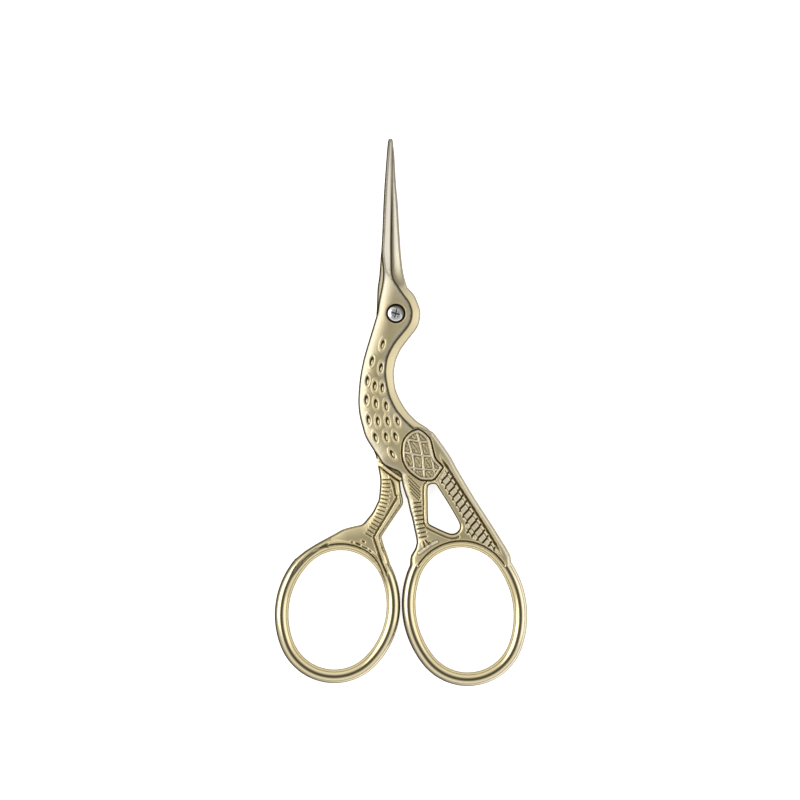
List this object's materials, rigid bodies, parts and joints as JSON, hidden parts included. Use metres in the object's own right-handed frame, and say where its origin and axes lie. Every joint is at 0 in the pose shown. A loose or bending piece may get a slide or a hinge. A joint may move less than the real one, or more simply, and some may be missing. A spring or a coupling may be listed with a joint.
{
  "type": "stork embroidery scissors",
  "caption": "Small needlework scissors shaped as a stork: slim blades for the beak, a screw for the eye, engraved body and openwork tail, and round-bar finger rings for the feet.",
  "frame": {"origin": "the pivot axis at the underside, which is the flat back face that the closed scissors rest on", "axes": "+Z out of the front face, the side with the screw head; +Y from the pivot towards the blade tips; +X towards the front half's finger ring"},
  "size_m": [0.0532, 0.1151, 0.0033],
  "materials": {
    "front_half": "stainless steel casting with pale gold plating, satin body and polished ring",
    "back_half": "stainless steel casting with pale gold plating, satin leg and polished ring",
    "pivot_screw": "turned bright steel"
  },
  "bodies": {
    "back": {"back_half": "back_half", "pivot_screw": "pivot_screw"},
    "front": {"front_half": "front_half"}
  },
  "joints": [
    {"name": "pivot", "type": "hinge", "parent": "back", "child": "front", "pos_m": [0, 0, 0], "axis": [0, 0, 1], "range_deg": [0, 150]}
  ]
}
